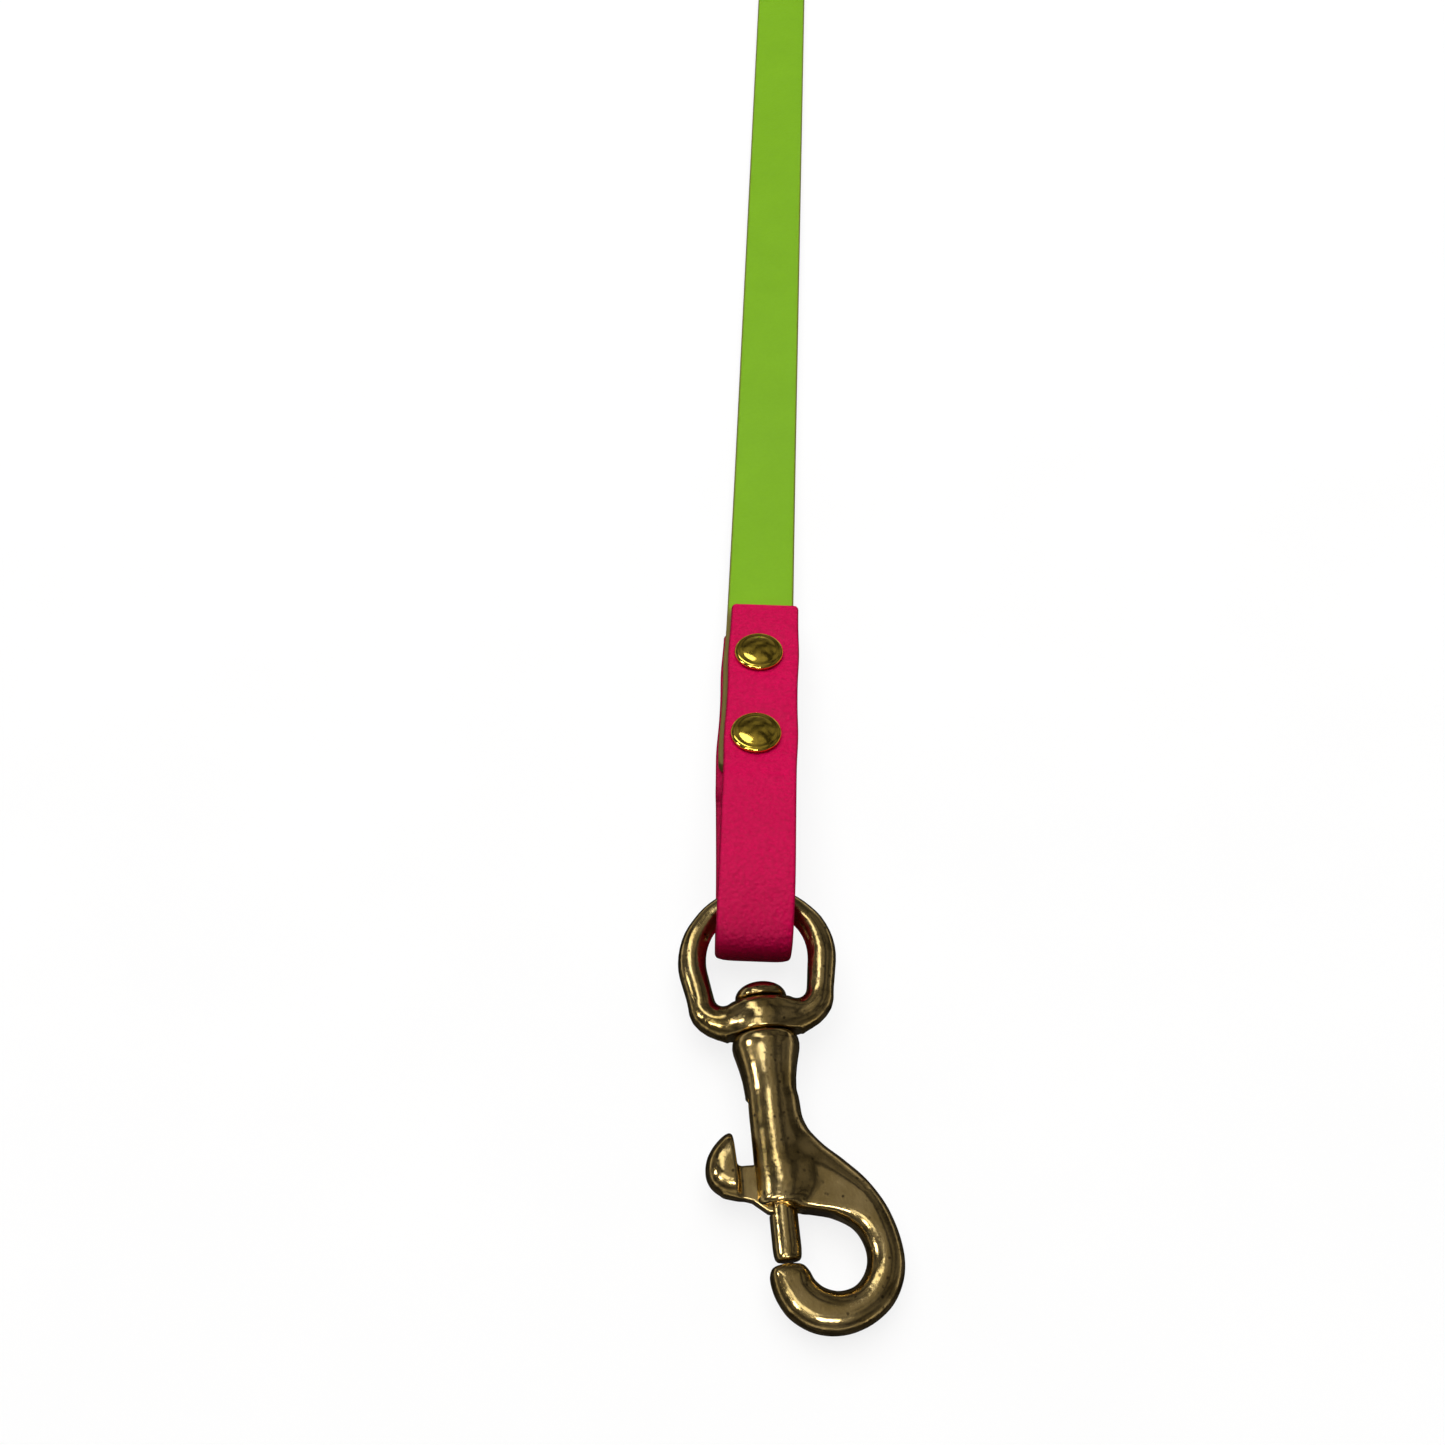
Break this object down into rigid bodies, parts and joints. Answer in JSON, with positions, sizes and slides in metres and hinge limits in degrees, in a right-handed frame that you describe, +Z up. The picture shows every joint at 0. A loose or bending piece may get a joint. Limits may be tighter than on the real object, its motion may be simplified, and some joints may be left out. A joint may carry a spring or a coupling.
{
  "type": "training leash",
  "caption": "Flat two-colour training leash with a riveted strap loop, a brass swivel bolt snap, a riveted hand loop and its spare length in a tied hank.",
  "frame": {"origin": "on the table, under the strap's centre line, where the strap comes down flat behind the snap-end joint", "axes": "+Y along the strap towards the handle, +X to the right seen from the snap, +Z up from the table"},
  "size_m": [0.0937, 0.7053, 0.0163],
  "materials": {
    "lime_strap": "matte coated webbing, lime green, very fine grain",
    "pink_strap": "matte coated webbing, hot pink, fine leather-like grain",
    "cast_brass": "cast and polished solid brass",
    "rivet_brass": "pressed and polished brass caps",
    "spring_steel": "bright drawn wire",
    "tie_band": "black woven hook-and-loop band"
  },
  "bodies": {
    "root": {"main_strap": "lime_strap", "hank": "lime_strap", "strap_tail": "lime_strap", "hank_tie": "tie_band", "loop_strap": "pink_strap", "handle_strap": "pink_strap", "loop_rivet_1_cap": "rivet_brass", "loop_rivet_1_post": "rivet_brass", "loop_rivet_2_cap": "rivet_brass", "loop_rivet_2_post": "rivet_brass", "handle_rivet_1_cap": "rivet_brass", "handle_rivet_1_post": "rivet_brass", "handle_rivet_2_cap": "rivet_brass", "handle_rivet_2_post": "rivet_brass"},
    "eye": {"swivel_eye": "cast_brass"},
    "snap": {"snap_body": "cast_brass", "swivel_stud": "cast_brass", "return_spring": "spring_steel"},
    "bolt": {"bolt": "cast_brass", "thumb_lever": "cast_brass"}
  },
  "joints": [
    {"name": "eye_swing", "type": "hinge", "parent": "root", "child": "eye", "pos_m": [0.00031, -0.12128, 0.00717], "axis": [0.9869, 0.1227, 0.1044], "range_deg": [-60, 60]},
    {"name": "snap_swivel", "type": "hinge", "parent": "eye", "child": "snap", "pos_m": [0, -0.1189, 0.0073], "axis": [-0.1286, 0.9903, 0.0523], "continuous": true},
    {"name": "bolt_slide", "type": "slide", "parent": "snap", "child": "bolt", "axis": [-0.1286, 0.9903, 0.0523], "range_m": [0, 0.0085], "stiffness_N_per_m": 400, "springref_m": -0.01, "deforming": ["return_spring"]}
  ]
}
